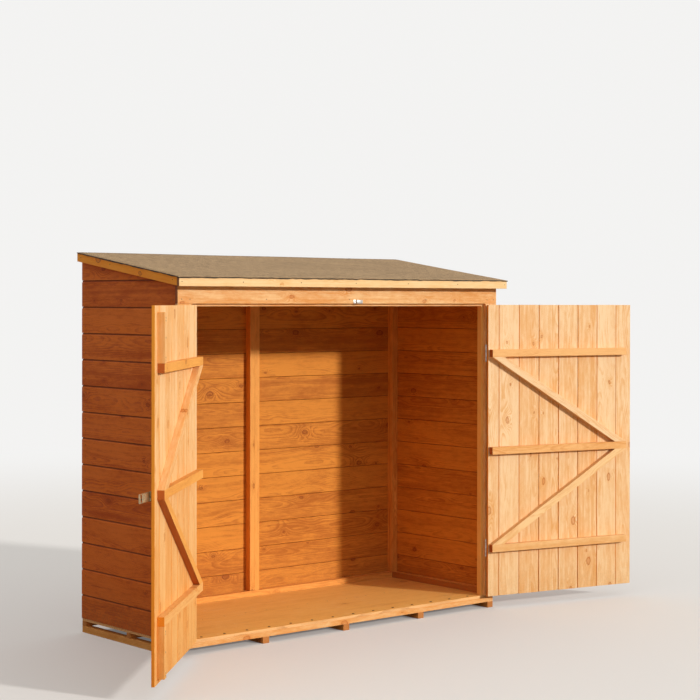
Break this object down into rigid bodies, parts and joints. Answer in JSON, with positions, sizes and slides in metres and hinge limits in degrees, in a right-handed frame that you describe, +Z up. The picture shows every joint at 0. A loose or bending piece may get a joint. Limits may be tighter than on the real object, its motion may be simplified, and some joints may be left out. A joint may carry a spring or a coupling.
{
  "type": "timber bike store",
  "caption": "Low timber store for bicycles with a sloping felted roof, boarded walls, a floor on bearers and braced double doors standing open.",
  "frame": {"origin": "on the ground under the middle bearer, half way along the store's width and depth", "axes": "+Z up, +X to the right seen from the front, the doors face -Y"},
  "size_m": [3.1184, 1.3456, 1.629],
  "materials": {
    "stained_pine": "honey-brown stained knotty pine, satin",
    "pale_trim": "pale honey stained pine trim, satin",
    "sheet_board": "stained board sheet, matt",
    "mineral_felt": "mineral-faced bitumen felt, brown grey",
    "zinc_steel": "bright zinc-plated pressed steel"
  },
  "bodies": {
    "shed": {"back_top_rail": "stained_pine", "back_wall_boards": "stained_pine", "floor_back_rail": "stained_pine", "floor_bearers": "stained_pine", "floor_front_rail": "stained_pine", "floor_middle_rail": "stained_pine", "floor_sheet": "sheet_board", "frame_hinge_leaves": "zinc_steel", "front_fascia": "pale_trim", "front_top_rail": "stained_pine", "header_board": "pale_trim", "header_keep": "zinc_steel", "left_back_stud": "stained_pine", "left_bargeboard": "stained_pine", "left_corner_post": "stained_pine", "left_front_post": "stained_pine", "left_front_strip": "pale_trim", "left_jamb_post": "stained_pine", "left_top_rail": "stained_pine", "left_wall_boards": "stained_pine", "right_back_stud": "stained_pine", "right_bargeboard": "stained_pine", "right_corner_post": "stained_pine", "right_front_post": "stained_pine", "right_front_strip": "pale_trim", "right_jamb_post": "stained_pine", "right_top_rail": "stained_pine", "right_wall_boards": "stained_pine", "roof_felt": "mineral_felt", "roof_sheet": "sheet_board", "wall_bottom_rails": "stained_pine"},
    "left_door": {"left_door_boards": "stained_pine", "left_door_hinge_leaves": "zinc_steel", "left_door_lower_brace": "stained_pine", "left_door_lower_ledge": "stained_pine", "left_door_middle_ledge": "stained_pine", "left_door_top_ledge": "stained_pine", "left_door_upper_brace": "stained_pine", "hasp_base": "zinc_steel"},
    "right_door": {"right_door_boards": "stained_pine", "right_door_hinge_leaves": "zinc_steel", "right_door_lower_brace": "stained_pine", "right_door_lower_ledge": "stained_pine", "right_door_middle_ledge": "stained_pine", "right_door_top_ledge": "stained_pine", "right_door_upper_brace": "stained_pine", "hasp_staple": "zinc_steel"},
    "hasp_strap": {"hasp_strap": "zinc_steel"}
  },
  "joints": [
    {"name": "left_door_hinge", "type": "hinge", "parent": "shed", "child": "left_door", "pos_m": [-0.8235, -0.363, 0.735], "axis": [0, 0, -1], "range_deg": [-135.7, 44.3]},
    {"name": "right_door_hinge", "type": "hinge", "parent": "shed", "child": "right_door", "pos_m": [0.8235, -0.363, 0.735], "axis": [0, 0, 1], "range_deg": [-168.3, 11.7]},
    {"name": "hasp_hinge", "type": "hinge", "parent": "left_door", "child": "hasp_strap", "pos_m": [-1.40497, -0.92763, 0.7325], "axis": [0, 0, -1], "range_deg": [-10, 150]}
  ]
}
